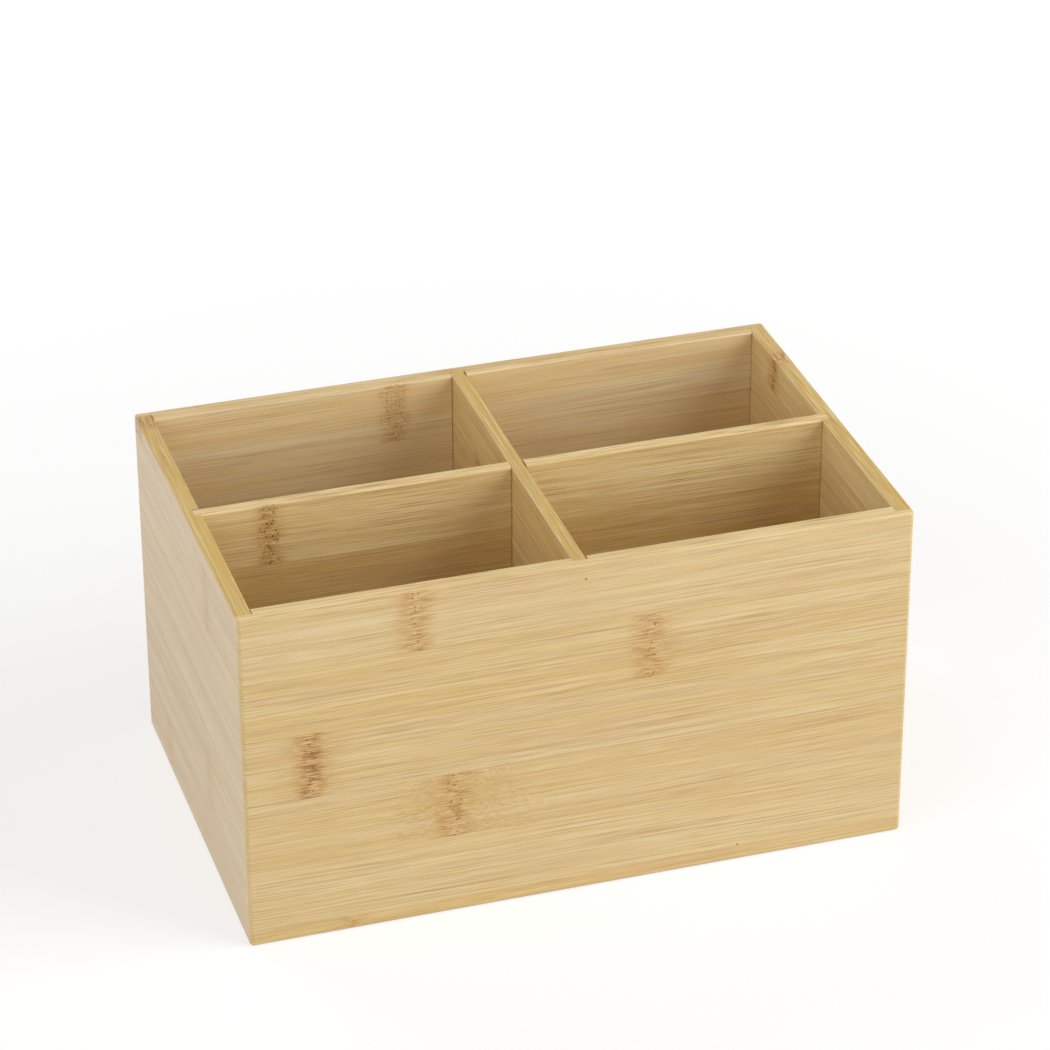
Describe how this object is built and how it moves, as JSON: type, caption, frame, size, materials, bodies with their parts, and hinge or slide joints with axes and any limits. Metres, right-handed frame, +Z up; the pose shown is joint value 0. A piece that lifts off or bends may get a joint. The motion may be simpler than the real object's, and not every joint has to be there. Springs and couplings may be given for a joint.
{
  "type": "utensil caddy",
  "caption": "Open-topped rectangular bamboo caddy with crossed dividers that part it into compartments for upright kitchen utensils.",
  "frame": {"origin": "on the table, under the middle of the box", "axes": "+X to the right along the long front board, +Y from the front to the back, +Z up from the table to the rim"},
  "size_m": [0.22, 0.14, 0.12],
  "materials": {
    "bamboo_board": "clear satin lacquer on flat-sawn laminated bamboo"
  },
  "bodies": {
    "root": {"front_panel": "bamboo_board", "back_panel": "bamboo_board", "left_panel": "bamboo_board", "right_panel": "bamboo_board", "base_panel": "bamboo_board", "long_divider": "bamboo_board", "cross_divider": "bamboo_board"}
  },
  "joints": []
}
